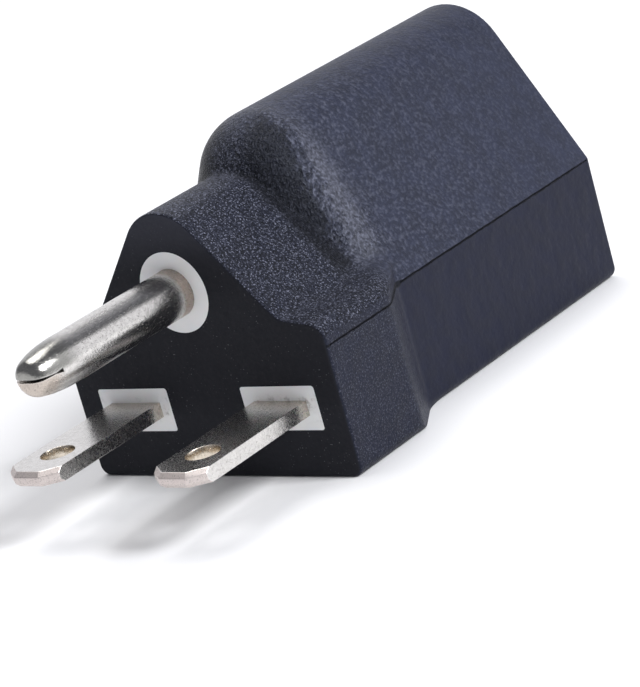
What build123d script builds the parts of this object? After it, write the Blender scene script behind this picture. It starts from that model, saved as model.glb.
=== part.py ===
from build123d import *
import os
from math import radians, tan

# Grounded plug adapter: a plug end with two flat blades lying in one line below a round ground pin, and a
# socket end with two upright slots below a ground hole, joined by one soft moulded body.
# Millimetres. Z is up from the flat bottom. Y runs from the plug face (y = 0) back to the socket face; the
# blades and the pin point towards -Y. X = 0 is the middle plane. Written out, the pieces are moved along Y so
# that the origin lies under the middle of the whole length.

# plug end of the body
PLUG_HALF_W = 16.5  # half the width of the plug face
PLUG_SIDE_TOP = 15.05  # where the upright side would meet the ledge
LEDGE_IN = (11.6, 15.75)  # inner end of the ledge, foot of the slanted side
PLUG_SLANT = 50.0  # slant of the upper sides against the ground, degrees
PLUG_TOP_R = 5.0
PLUG_LEDGE_R = 1.8  # outer edge of the ledge, which runs on round the drawn-in side
PLUG_FOOT_R = 2.0
BOTTOM_R = 1.1  # both bottom edges, along the whole body
PLUG_NECK = (10.4, 5.1)  # where the sides start to draw in, and over what length
NECK_R = 2.2
NECK_FOOT_R = 2.0

# socket end of the body
BODY_L = 51.0
SOCKET_HALF_W = 13.42
SOCKET_SIDE_TOP = 13.15
SOCKET_SLANT = 27.65  # slant of the upper sides against the upright, degrees
SOCKET_TOP_R = 6.65
DOME_Y = 10.65  # front plane of the domed shoulder
DOME_R = 6.6
CREASE_R = 0.8  # inner corners where the two ends meet
FACE_EDGE_R = 0.35
SOCKET_EDGE_R = 0.5
PARTING_Z = 13.0  # line where the two halves of the mould met
PARTING_W, PARTING_DEPTH = 0.16, 0.12

# blades and ground pin
BLADE_Z, BLADE_X = 7.0, 9.13
BLADE_W, BLADE_T, BLADE_L = 6.35, 1.52, 16.5
BLADE_HOLE_Y, BLADE_HOLE_R = -11.7, 1.7
TIP_CORNER_X, TIP_CORNER_Y = 1.6, 1.25
TIP_BEVEL = 0.45
PIN_Z = BLADE_Z + 11.9
PIN_R, PIN_WALL, PIN_L = 2.4, 0.85, 21.35
PIN_ROOT_R = 2.0  # inside the core the pin is necked down, so it has a shoulder to stop on
PIN_NOSE_L, PIN_TIP_R = 5.5, 1.95
PIN_SLIT_L = 2.75  # the slit in the nose narrows and then opens to a small triangle

# inner pieces
CORE_FACE_T = 2.6  # depth the white core's bosses stand through the plug face
CORE_PLATE_T = 4.0
CORE_WALL = 2.2
RING_R = 4.07
WINDOW_W, WINDOW_H = 8.95, 4.45
SOCKET_WALL, SOCKET_FACE_T = 1.8, 1.8
SLOT_Z, SLOT_X = 9.5, 6.35
GROUND_Z, GROUND_W = SLOT_Z + 11.9, 5.4
SHORT_SLOT, LONG_SLOT = (2.3, 6.8), (2.0, 8.25)
SHORT_WINDOW, LONG_WINDOW = (5.5, 10.2), (5.6, 11.2)
GROUND_WINDOW_W, GROUND_WINDOW_TOP = 8.0, 25.4
WINDOW_SINK = 0.12  # depth of the three windows below the socket face
CHAMBER_Y = 28.25  # front end of the contact chambers, closed by the cover
CHAMBER_END = 46.8
COVER_T = 2.2
STRIP = 0.5  # thickness of the brass strip
LEAF_H = 6.4
TAIL_W, TAIL_Y0 = 3.6, 9.5
RIVET_Y, RIVET_R, RIVET_HEAD_R, RIVET_HEAD_H = 12.0, 1.3, 2.1, 0.7
GROUND_RIVET_Y, GROUND_RIVET_R = 13.0, 1.1


def prism(sketch, y0, y1):
    """A solid with the outline drawn in X and Z, standing from y0 back to y1."""
    return extrude(Plane.XZ.offset(-y0) * sketch, amount=-(y1 - y0))


def box(x0, x1, y0, y1, z0, z1):
    return Pos((x0 + x1) / 2, (y0 + y1) / 2, (z0 + z1) / 2) * Box(abs(x1 - x0), abs(y1 - y0), abs(z1 - z0))


def outline(half, radii):
    """A closed outline, the same on both sides of x = 0, with its own rounding at every corner."""
    points = [(x, z, r) for (x, z), r in zip(half, radii)]
    points += [(-x, z, r) for x, z, r in reversed(points) if x > 0]
    face = make_face(Polyline(*[(x, z) for x, z, _ in points], close=True))
    for x, z, r in points:
        if r:
            face = fillet(face.vertices().sort_by_distance((x, z, 0))[0], r)
    return face


def edges_near(shape, *spots):
    """The edges whose middles lie at the spots and at their mirror images."""
    found = []
    for x, y, z in spots:
        for side in (1, -1) if x else (1,):
            spot = Vector(side * x, y, z)
            edge = min(shape.edges(), key=lambda e: (e.center() - spot).length)
            if not any(edge.is_same(other) for other in found):
                found.append(edge)
    return found


# Outlines of the two ends
foot_x, foot_z = LEDGE_IN
plug_outline = outline(
    [
        (PLUG_HALF_W, 0),
        (PLUG_HALF_W, PLUG_SIDE_TOP),
        LEDGE_IN,
        (0, foot_z + foot_x * tan(radians(PLUG_SLANT))),
    ],
    [BOTTOM_R, 0, PLUG_FOOT_R, PLUG_TOP_R],
)
socket_outline = outline(
    [
        (SOCKET_HALF_W, 0),
        (SOCKET_HALF_W, SOCKET_SIDE_TOP),
        (0, SOCKET_SIDE_TOP + SOCKET_HALF_W / tan(radians(SOCKET_SLANT))),
    ],
    [BOTTOM_R, 0, SOCKET_TOP_R],
)

# Moulded body: the plug end draws in towards the socket end, whose top starts in a rounded dome.
neck_y, neck_l = PLUG_NECK
neck_end = neck_y + neck_l + 6.0
neck_half = PLUG_HALF_W - (PLUG_HALF_W - SOCKET_HALF_W) * (neck_end - neck_y) / neck_l
plan = make_face(
    Polyline(
        (-PLUG_HALF_W, 0),
        (PLUG_HALF_W, 0),
        (PLUG_HALF_W, neck_y),
        (neck_half, neck_end),
        (-neck_half, neck_end),
        (-PLUG_HALF_W, neck_y),
        close=True,
    )
)
plan = fillet(plan.vertices().group_by(Axis.Y)[1], NECK_R)
plug_end = prism(plug_outline, 0, neck_end) & extrude(plan, 40)
ledge_rim = edges_near(
    plug_end,
    (PLUG_HALF_W, neck_y / 2, PLUG_SIDE_TOP),
    (PLUG_HALF_W, neck_y, PLUG_SIDE_TOP),
    (14.3, neck_y + 3.7, 15.4),  # along the drawn-in side
    (foot_x, neck_y + 8.0, 16.0),
    (10.6, neck_end - 1.0, 17.1),
)
plug_end = fillet(ledge_rim, PLUG_LEDGE_R)
face_rim = plug_end.faces().sort_by(Axis.Y)[0].outer_wire().edges()
plug_end = fillet(face_rim, FACE_EDGE_R)

socket_end = prism(socket_outline, DOME_Y, BODY_L)
dome_rim = socket_end.faces().sort_by(Axis.Y)[0].edges().filter_by(lambda e: e.center().Z > SOCKET_SIDE_TOP)
socket_end = fillet(dome_rim, DOME_R)
socket_rim = socket_end.faces().sort_by(Axis.Y)[-1].outer_wire().edges()
socket_end = fillet(socket_rim, SOCKET_EDGE_R)

body = plug_end + socket_end
# Where the two ends meet, every inner corner is rounded: first the upright ones at the neck, then the rest.
ends = [plug_end.shell(), socket_end.shell()]


def creases(shape):
    """The edges above the bottom that lie on the surfaces of both ends."""
    found = []
    for edge in shape.edges():
        middle = edge @ 0.5
        if middle.Z > 0.01 and all(end.distance_to(Vertex(*middle)) < 1e-3 for end in ends):
            found.append(edge)
    return found


neck_corners = [edge for edge in creases(body) if abs((edge % 0.5).Z) > 0.99 and edge.length > 6]
body = fillet(neck_corners, NECK_FOOT_R)
body = fillet(creases(body), CREASE_R)
parting_plan = section(body, section_by=Plane.XY.offset(PARTING_Z - PARTING_W / 2))
parting = extrude(parting_plan, PARTING_W) - extrude(offset(parting_plan, -PARTING_DEPTH), PARTING_W)
neck_foot = neck_y + neck_l
sides = box(-20, 20, FACE_EDGE_R + 0.15, neck_foot - 0.5, 0, 20)
sides += box(-20, 20, neck_foot + 0.7, BODY_L - SOCKET_EDGE_R - 0.1, 0, 20)
parting = (parting & sides) - box(-12.5, 12.5, -1, BODY_L + 1, 0, 20)

# White core of the plug end: a plate with three bosses that come out flush in the plug face
plate_y = CORE_FACE_T + CORE_PLATE_T
ring_boss = prism(Pos(0, PIN_Z) * Circle(RING_R), 0, CORE_FACE_T)
windows = Sketch() + [Pos(s * BLADE_X, BLADE_Z) * RectangleRounded(WINDOW_W, WINDOW_H, 0.3) for s in (1, -1)]
core_plate = prism(offset(plug_outline, -CORE_WALL), CORE_FACE_T, plate_y)
plug_core_block = core_plate + ring_boss + prism(windows, 0, CORE_FACE_T)
blade_slots = Sketch() + [Pos(s * BLADE_X, BLADE_Z) * Rectangle(BLADE_W, BLADE_T) for s in (1, -1)]
pin_hole = Pos(0, PIN_Z) * Circle(PIN_ROOT_R)
plug_core = plug_core_block - prism(blade_slots, -1, plate_y + 1) - prism(pin_hole, -1, plate_y + 1)


def blade(side):
    """A flat blade with clipped corners and a latch hole; behind the core it has stops and a narrow tail."""
    half = BLADE_W / 2
    front = Polyline(
        (-half, plate_y),
        (-half, -BLADE_L + TIP_CORNER_Y),
        (-half + TIP_CORNER_X, -BLADE_L),
        (half - TIP_CORNER_X, -BLADE_L),
        (half, -BLADE_L + TIP_CORNER_Y),
        (half, plate_y),
        close=True,
    )
    flat = make_face(front) - Pos(0, BLADE_HOLE_Y) * Circle(BLADE_HOLE_R)
    tail_end = RIVET_Y + 3.0
    flat += Pos(0, (plate_y + tail_end) / 2) * Rectangle(5.0, tail_end - plate_y)
    flat += Pos(0, plate_y + 0.6) * Rectangle(8.0, 1.2)
    flat -= Pos(0, RIVET_Y) * Circle(RIVET_R)
    plate = Pos(side * BLADE_X, 0, BLADE_Z - BLADE_T / 2) * extrude(flat, BLADE_T)
    tip = plate.edges().filter_by(
        lambda e: e.center().Y < -BLADE_L + TIP_CORNER_Y and abs(e.center().Z - BLADE_Z) > BLADE_T / 3
    )
    return chamfer(tip, TIP_BEVEL)


blade_right, blade_left = blade(1), blade(-1)

# Ground pin: a closed tube whose end is slit on both sides and pressed together to a blunt nose
nose_y = -PIN_L + PIN_NOSE_L
round_y = -PIN_L + 1.3  # where the nose starts to round over to its blunt end
pin_end = plate_y + 2.4
pin_profile = make_face(
    Polyline(
        (-0.4, -PIN_L),
        (0, -PIN_L),
        (0, pin_end),
        (-PIN_ROOT_R, pin_end),
        (-PIN_ROOT_R, 0),
        (-PIN_R, 0),
        (-PIN_R, nose_y),
    )
    + Bezier(
        (-PIN_R, nose_y),
        (-PIN_R, nose_y - 2.0),
        (-PIN_TIP_R - 0.25, round_y + 0.9),
        (-PIN_TIP_R, round_y),
    )
    + Bezier(
        (-PIN_TIP_R, round_y),
        (-PIN_TIP_R + 0.2, -PIN_L + 0.35),
        (-PIN_TIP_R + 0.6, -PIN_L),
        (-0.4, -PIN_L),
    )
)
bore_r = PIN_R - PIN_WALL
pin_bore = make_face(
    Polyline((-0.6, round_y), (0, round_y), (0, pin_end + 1), (-bore_r, pin_end + 1), (-bore_r, nose_y))
    + Bezier((-bore_r, nose_y), (-bore_r, nose_y - 1.8), (-1.1, round_y + 0.4), (-0.6, round_y))
)
tube = revolve(pin_profile, Axis.Y) - revolve(pin_bore, Axis.Y)
slit_end = -PIN_L + PIN_SLIT_L
slit = make_face(
    Polyline(
        (-PIN_L - 1, 0.22),
        (slit_end - 1.3, 0.06),
        (slit_end - 0.9, 0.04),
        (slit_end, 0.19),
        (slit_end, -0.19),
        (slit_end - 0.9, -0.04),
        (slit_end - 1.3, -0.06),
        (-PIN_L - 1, -0.22),
        close=True,
    )
)
tube -= extrude(Plane.YZ.offset(-PIN_R - 1) * slit, 2 * PIN_R + 2)
collar = Rot(90, 0, 0) * (Cylinder(3.2, 0.8) - Cylinder(PIN_ROOT_R, 0.8))
tab_z = -PIN_ROOT_R + PIN_WALL
tab = box(-2.0, 2.0, plate_y, GROUND_RIVET_Y + 3, tab_z - PIN_WALL, tab_z)
tab -= Pos(0, GROUND_RIVET_Y, tab_z) * Cylinder(GROUND_RIVET_R, 4)
ground_pin = Pos(0, 0, PIN_Z) * (tube + Pos(0, plate_y + 0.4, 0) * collar + tab)

# Black core of the socket end: contact chambers behind three bosses that come out flush in the socket face
core_front = BODY_L - SOCKET_FACE_T
core_outline = offset(socket_outline, -SOCKET_WALL)
ground_window = outline(
    [(GROUND_WINDOW_W / 2, GROUND_Z), (GROUND_WINDOW_W / 2, GROUND_WINDOW_TOP)], [0, 1.3]
) + Pos(0, GROUND_Z) * Circle(GROUND_WINDOW_W / 2)
bosses = (
    Pos(SLOT_X, SLOT_Z) * RectangleRounded(*SHORT_WINDOW, 1.3)
    + Pos(-SLOT_X, SLOT_Z) * RectangleRounded(*LONG_WINDOW, 1.3)
    + ground_window
)
window_y = BODY_L - WINDOW_SINK
socket_core_block = prism(core_outline, CHAMBER_Y, core_front) + prism(bosses, core_front, window_y)
openings = (
    Pos(SLOT_X, SLOT_Z) * Rectangle(*SHORT_SLOT)
    + Pos(-SLOT_X, SLOT_Z) * Rectangle(*LONG_SLOT)
    + Pos(0, GROUND_Z + GROUND_W / 4) * Rectangle(GROUND_W, GROUND_W / 2)
    + Pos(0, GROUND_Z) * Circle(GROUND_W / 2)
)
lug_x = BLADE_X + TAIL_W / 2
tail_z = BLADE_Z + BLADE_T / 2  # the tails lie on the blades
ground_tail_z = PIN_Z + tab_z
leaf_z0, leaf_z1 = SLOT_Z - LEAF_H / 2, SLOT_Z + LEAF_H / 2
chambers = [
    box(s * (SLOT_X - 2.3), s * (SLOT_X + 2.3), CHAMBER_Y, CHAMBER_END, SLOT_Z - 4.2, SLOT_Z + 4.2)
    for s in (1, -1)
]
lug_pockets = [box(s * SLOT_X, s * lug_x, CHAMBER_Y, CHAMBER_Y + STRIP, tail_z, leaf_z1) for s in (1, -1)]
ground_chamber = box(-3.3, 3.3, CHAMBER_Y, CHAMBER_END, ground_tail_z, GROUND_Z + 3.4)
socket_core = socket_core_block - chambers - lug_pockets - ground_chamber
socket_core -= prism(openings, CHAMBER_END, BODY_L + 1)
slot_mouths = ((SLOT_X, *SHORT_SLOT), (-SLOT_X, *LONG_SLOT))
rim_mouths = socket_core.edges().filter_by(
    lambda e: abs(e.center().Y - window_y) < 1e-4
    and any(
        abs(e.center().X - x) < w / 2 + 0.01 and abs(e.center().Z - SLOT_Z) < h / 2 + 0.01
        for x, w, h in slot_mouths
    )
)
socket_core = chamfer(rim_mouths, 0.25)

# Cover that closes the chambers from the front, with passages for the three tails
cover = prism(core_outline, CHAMBER_Y - COVER_T, CHAMBER_Y)
tail_cuts = [
    box(s * (BLADE_X - TAIL_W / 2), s * lug_x, TAIL_Y0, CHAMBER_Y, tail_z, tail_z + STRIP) for s in (1, -1)
]
ground_cut = box(-1.8, 1.8, TAIL_Y0, CHAMBER_Y, ground_tail_z, ground_tail_z + STRIP)
socket_core_cover = cover - tail_cuts - ground_cut


def blade_contact(side):
    """Brass strip: two sprung leaves beside the slot, a back with a lug, and a tail on to the blade."""
    x0 = SLOT_X
    leaves = Sketch()
    for leaf in (1, -1):
        path = Polyline(
            (x0 + leaf * 1.5, CHAMBER_Y + STRIP / 2),
            (x0 + leaf * 1.5, 33),
            (x0 + leaf * 0.88, 42),
            (x0 + leaf * 1.7, 46),
        )
        leaves += trace(path, STRIP)
    back = Pos((x0 - 1.75 + lug_x) / 2, CHAMBER_Y + STRIP / 2) * Rectangle(lug_x - x0 + 1.75, STRIP)
    clip = Pos(0, 0, leaf_z0) * extrude(leaves + back, LEAF_H)
    clip -= box(x0 + 1.75, lug_x + 1, CHAMBER_Y - 1, CHAMBER_Y + STRIP + 0.5, leaf_z0 - 1, tail_z)
    tail = box(BLADE_X - TAIL_W / 2, lug_x, TAIL_Y0, CHAMBER_Y + STRIP, tail_z, tail_z + STRIP)
    tail -= Pos(BLADE_X, RIVET_Y, tail_z) * Cylinder(RIVET_R, 4)
    contact = clip + tail
    return contact if side > 0 else mirror(contact, Plane.YZ)


contact_short_slot, contact_long_slot = blade_contact(1), blade_contact(-1)

# Ground contact: a sleeve open along its underside, a tongue sprung down from its roof, and a tail to the pin
sleeve_in, sleeve_out = GROUND_W / 2 - 0.25, GROUND_W / 2 - 0.25 + STRIP
sleeve_shape = Pos(0, GROUND_Z) * (
    RectangleRounded(2 * sleeve_out, 2 * sleeve_out, 1.0)
    - RectangleRounded(2 * sleeve_in, 2 * sleeve_in, 0.5)
)
sleeve_shape -= Pos(0, GROUND_Z - sleeve_out) * Rectangle(2.4, 2.4)
sleeve = prism(sleeve_shape, CHAMBER_Y, CHAMBER_END - 0.4)
ground_back = box(-sleeve_out, sleeve_out, CHAMBER_Y, CHAMBER_Y + STRIP, ground_tail_z, GROUND_Z + sleeve_out)
ground_tail = box(-1.8, 1.8, TAIL_Y0 + 1, CHAMBER_Y + STRIP, ground_tail_z, ground_tail_z + STRIP)
ground_tail -= Pos(0, GROUND_RIVET_Y, ground_tail_z) * Cylinder(GROUND_RIVET_R, 4)
roof = GROUND_Z + sleeve_in
tongue_path = Polyline((44.5, roof + 0.25), (42.5, roof - 0.1), (36.5, roof - 1.5), (33.0, roof - 0.5))
tongue_side = trace(tongue_path, 0.4)
tongue = extrude(Plane.YZ.offset(-1.3) * tongue_side, 2.6)
contact_ground = sleeve + ground_back + ground_tail + tongue


def rivet(x, y, z0, z1, r, head_r):
    """A shank through both tails with a low domed head on either side."""
    low, high, crown_r = z0 - RIVET_HEAD_H, z1 + RIVET_HEAD_H, head_r * 0.45
    head_under = [(0, low), (crown_r, low), (head_r, z0 - 0.15), (head_r, z0), (r, z0)]
    head_over = [(r, z1), (head_r, z1), (head_r, z1 + 0.15), (crown_r, high), (0, high)]
    half = make_face(Polyline(*head_under, *head_over, close=True))
    return Pos(x, y, 0) * revolve(Plane.XZ * half, Axis.Z)


blade_under = BLADE_Z - BLADE_T / 2
rivet_right = rivet(BLADE_X, RIVET_Y, blade_under, tail_z + STRIP, RIVET_R, RIVET_HEAD_R)
rivet_left = rivet(-BLADE_X, RIVET_Y, blade_under, tail_z + STRIP, RIVET_R, RIVET_HEAD_R)
rivet_ground = rivet(0, GROUND_RIVET_Y, PIN_Z - PIN_ROOT_R, ground_tail_z + STRIP, GROUND_RIVET_R, 1.8)

# The soft body is moulded round everything inside it
inside = [
    plug_core_block,
    socket_core_block,
    prism(bosses, core_front, BODY_L + 1),
    cover,
    blade_right,
    blade_left,
    Pos(0, 0, PIN_Z) * revolve(pin_profile, Axis.Y),
    Pos(0, plate_y + 0.4, PIN_Z) * Rot(90, 0, 0) * Cylinder(3.2, 0.8),
    ground_pin,
    contact_short_slot,
    contact_long_slot,
    contact_ground,
    rivet_right,
    rivet_left,
    rivet_ground,
]
outer_body = body - parting
for piece in inside:
    outer_body -= piece

pieces = {
    "outer_body": outer_body,
    "plug_core": plug_core,
    "blade_right": blade_right,
    "blade_left": blade_left,
    "ground_pin": ground_pin,
    "socket_core": socket_core,
    "socket_core_cover": socket_core_cover,
    "contact_short_slot": contact_short_slot,
    "contact_long_slot": contact_long_slot,
    "contact_ground": contact_ground,
    "rivet_right": rivet_right,
    "rivet_left": rivet_left,
    "rivet_ground": rivet_ground,
}
middle = (BODY_L - PIN_L) / 2
os.makedirs("parts", exist_ok=True)
for name, piece in pieces.items():
    size = [round(v, 2) for v in tuple(piece.bounding_box().size)]
    print(name, len(piece.solids()), "solid", size, "mm,", round(piece.volume, 1), "mm3")
    export_step(Pos(0, -middle, 0) * piece, f"parts/{name}.step")
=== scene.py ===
# %% [markdown]
# # Plug adapter
# One soft black body is moulded round two hard plastic cores. The plug end carries two flat blades and a
# round ground pin, and the socket end has two upright slots and a ground hole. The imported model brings
# every solid at its true size and place, so this lesson only adds what the solids can't show: grain,
# plating, wear, thin moulding flash, light and a camera. We load the model first, because every later
# cell measures from it.

import math
from types import SimpleNamespace

import bmesh
import bpy
from mathutils import Matrix, Vector


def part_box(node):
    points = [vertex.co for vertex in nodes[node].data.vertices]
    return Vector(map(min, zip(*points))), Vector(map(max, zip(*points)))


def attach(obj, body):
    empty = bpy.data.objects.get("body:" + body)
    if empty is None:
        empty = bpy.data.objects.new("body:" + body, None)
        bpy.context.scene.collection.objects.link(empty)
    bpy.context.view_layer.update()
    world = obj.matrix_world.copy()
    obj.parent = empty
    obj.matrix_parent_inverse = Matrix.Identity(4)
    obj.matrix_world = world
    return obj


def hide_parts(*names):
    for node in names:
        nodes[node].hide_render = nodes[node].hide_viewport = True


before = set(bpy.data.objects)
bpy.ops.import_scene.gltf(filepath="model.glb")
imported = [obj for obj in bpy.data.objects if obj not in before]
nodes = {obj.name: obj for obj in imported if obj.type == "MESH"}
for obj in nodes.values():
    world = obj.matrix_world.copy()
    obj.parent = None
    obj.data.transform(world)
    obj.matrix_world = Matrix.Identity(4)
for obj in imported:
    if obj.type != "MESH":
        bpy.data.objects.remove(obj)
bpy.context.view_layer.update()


# %% [markdown]
# ## Places to measure from
# A maker works from a few datum faces. Here they are the plug face, the socket face and the axes of the
# pin and the blades. They could be typed in as numbers, but we read them from the boxes of the solids, so
# that a change of size carries over by itself. Only what a box can't tell, such as the place of the latch
# holes, is typed in.

# %% Datum faces and axes
MM = 0.001
HOLE_FROM_FACE, HOLE_R, PIN_R = 11.7 * MM, 1.7 * MM, 2.4 * MM
DOME_FROM_FACE, PARTING_Z = 10.65 * MM, 13.0 * MM

plug_face_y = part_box("outer_body")[0].y
socket_face_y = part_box("outer_body")[1].y
dome_y = plug_face_y + DOME_FROM_FACE
blade_low, blade_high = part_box("blade_right")
blade_top_z = blade_high.z
hole_x = (blade_low.x + blade_high.x) / 2
hole_y = plug_face_y - HOLE_FROM_FACE
pin_low, pin_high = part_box("ground_pin")
pin_axis_z = (pin_low.z + pin_high.z) / 2
print("plug face y", round(plug_face_y, 5), "socket face y", round(socket_face_y, 5))
print("pin axis z", round(pin_axis_z, 5), "blade axis x", round(hole_x, 5))

# %% [markdown]
# ## The camera
# The photograph was taken from the plug side, about 42 degrees round from the front and 16 degrees above
# the ground, with a long lens. The size of the blades and the pin in the picture gave the distance and
# the lens. The camera's three directions, right, up and back, are written down and become the columns of
# its turning matrix. This way was chosen because a camera that is only aimed at the middle would stand
# upright, and the picture leans by about 16 degrees.

# %% Place the camera
CAMERA_LENS, SENSOR_LONG_SIDE = 160.9, 36.0  # mm
camera_right = Vector((0.771114, 0.581186, -0.260012))
camera_up = Vector((0.022504, 0.383243, 0.923374))
camera_back = Vector((0.636299, -0.717878, 0.282445))
camera_place = Vector((193.405 * MM, plug_face_y - 200.290 * MM, 92.166 * MM))


def into_scene(name, data):
    """Makes an object that holds the data, at the origin, and links it to the scene."""
    made = bpy.data.objects.new(name, data)
    bpy.context.scene.collection.objects.link(made)
    return made


camera_data = bpy.data.cameras.new("studio_camera")
camera_data.lens = CAMERA_LENS
camera_data.sensor_width = SENSOR_LONG_SIDE
camera_data.clip_start, camera_data.clip_end = 0.01, 20.0
camera = into_scene("studio_camera", camera_data)
turning = Matrix((camera_right, camera_up, camera_back)).transposed().to_4x4()
camera.matrix_world = Matrix.Translation(camera_place) @ turning
bpy.context.scene.camera = camera
print("camera stands", round(camera_place.length, 3), "m from the origin")

# %% [markdown]
# ## A short way to write materials
# Every finish here is a small network of nodes on a Principled shader. It could be drawn by hand in the
# shader editor; written down, it can be read and repeated. One helper adds a node and joins its inputs,
# and the others stand for the few sums that come back in every network.

# %% Helpers for nodes
def add(tree, kind, inputs=None, **settings):
    """Adds a node, sets its options, and joins or fills each named input."""
    made = tree.nodes.new(kind)
    for key, value in settings.items():
        setattr(made, key, value)
    for key, value in (inputs or {}).items():
        if isinstance(value, bpy.types.NodeSocket):
            tree.links.new(value, made.inputs[key])
        else:
            made.inputs[key].default_value = value
    return made


def math_node(tree, operation, a, b=0.0):
    return add(tree, "ShaderNodeMath", {0: a, 1: b}, operation=operation).outputs[0]


def times(tree, first, *others):
    """The product of numbers; of masks, the share in which every one of them holds."""
    for other in others:
        first = math_node(tree, "MULTIPLY", first, other)
    return first


def unsigned(tree, value):
    return math_node(tree, "ABSOLUTE", value)


def apart(tree, a, b):
    """How far two numbers are apart."""
    return unsigned(tree, math_node(tree, "SUBTRACT", a, b))


def ramp(tree, value, low, high, to_low=0.0, to_high=1.0):
    """Goes smoothly from to_low to to_high while value goes from low to high."""
    inputs = {"Value": value, "From Min": low, "From Max": high, "To Min": to_low, "To Max": to_high}
    return add(tree, "ShaderNodeMapRange", inputs, interpolation_type="SMOOTHSTEP").outputs[0]


def blend_colour(tree, factor, a, b):
    mixed = add(tree, "ShaderNodeMix", {0: factor}, data_type="RGBA")
    for socket, value in ((mixed.inputs[6], a), (mixed.inputs[7], b)):
        if isinstance(value, bpy.types.NodeSocket):
            tree.links.new(value, socket)
        else:
            socket.default_value = (*value, 1.0)
    return mixed.outputs[2]


# %% [markdown]
# ## Patterns and relief
# All patterns read Object coordinates, in metres, so a grain of a fifth of a millimetre is written as
# such and stays on the piece wherever it is seen from. There are two patterns: noise, which can be drawn
# out along an axis for rub marks, and small round heaps from a Voronoi texture, for the grain that a
# spark-eroded mould leaves.

# %% Helpers for patterns
def noise(tree, place, grain, detail=2.0, roughness=0.5, stretch=(1, 1, 1)):
    """Noise whose lumps are about one grain wide, in metres, drawn out along an axis by stretch."""
    scale = [1 / (grain * s) for s in stretch]
    spread = add(tree, "ShaderNodeVectorMath", {0: place, 1: scale}, operation="MULTIPLY").outputs[0]
    inputs = {"Vector": spread, "Scale": 1.0, "Detail": detail, "Roughness": roughness}
    return add(tree, "ShaderNodeTexNoise", inputs).outputs[0]


def crumbs(tree, place, size):
    """Small round heaps about one size apart, each with a height of its own between 0 and 1."""
    spread = add(tree, "ShaderNodeVectorMath", {0: place, "Scale": 1 / size}, operation="SCALE").outputs[0]
    cells = add(tree, "ShaderNodeTexVoronoi", {"Vector": spread, "Scale": 1.0})
    heap = ramp(tree, cells.outputs["Distance"], 0.55, 0.15)
    chance = add(tree, "ShaderNodeSeparateXYZ", {0: cells.outputs["Color"]}).outputs[0]
    return times(tree, heap, ramp(tree, chance, -0.3, 1.0))


def bump(tree, height, depth, normal=None):
    """Turns a height between 0 and 1 into relief of that depth in metres."""
    inputs = {"Height": height, "Strength": 1.0, "Distance": depth}
    if normal is not None:
        inputs["Normal"] = normal
    return add(tree, "ShaderNodeBump", inputs).outputs[0]


def facing_of(tree):
    """Which way the face looks, as its three shares along X, Y and Z."""
    normal = add(tree, "ShaderNodeTexCoord").outputs["Normal"]
    return add(tree, "ShaderNodeSeparateXYZ", {0: normal}).outputs


def new_finish(name, **constants):
    """A material with a Principled shader; its constant values are set straight on the shader."""
    material = bpy.data.materials.new(name)
    material.use_nodes = True
    tree = material.node_tree
    shader = tree.nodes["Principled BSDF"]
    for key, value in constants.items():
        shader.inputs[key.replace("_", " ")].default_value = value
    place = add(tree, "ShaderNodeTexCoord").outputs["Object"]
    axes = add(tree, "ShaderNodeSeparateXYZ", {0: place}).outputs
    return material, tree, shader, place, tuple(axes)


def join(tree, output, shader, key):
    tree.links.new(output, shader.inputs[key])


# %% [markdown]
# ## Soft black overmould: the parts of the body
# The body is soft vinyl, shot into a mould whose upper faces were spark-eroded. So the shoulders of the
# plug end have a dense, sharp grain that sparkles, the long upper faces have a coarser and softer one,
# the upright sides are smoother, and on the dome the grain is drawn out down the slope. The plug face was
# shut off against flat steel and is nearly plain. One material holds all of it, because it is one skin.
# The grain could be painted on a map, but masks made from the place on the body and from the way a face
# looks need no unwrapping.
#
# The dome is the liveliest part. Its front falls into a valley that is painted dark as shade, and its
# shoulder behind is painted lighter as a highlight. Both lean back as they rise, so they follow y less a
# share of z, and streaks of noise break their edges.

# %% Masks for the parts of the body
DOME_LEAN = 0.24  # how much further back the shoulder lies for each step up
STREAK_GRAIN, STREAK_REACH = 0.45 * MM, 0.7 * MM
DOWN_THE_SLOPE = (1.0, 1.5, 2.6)


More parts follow.
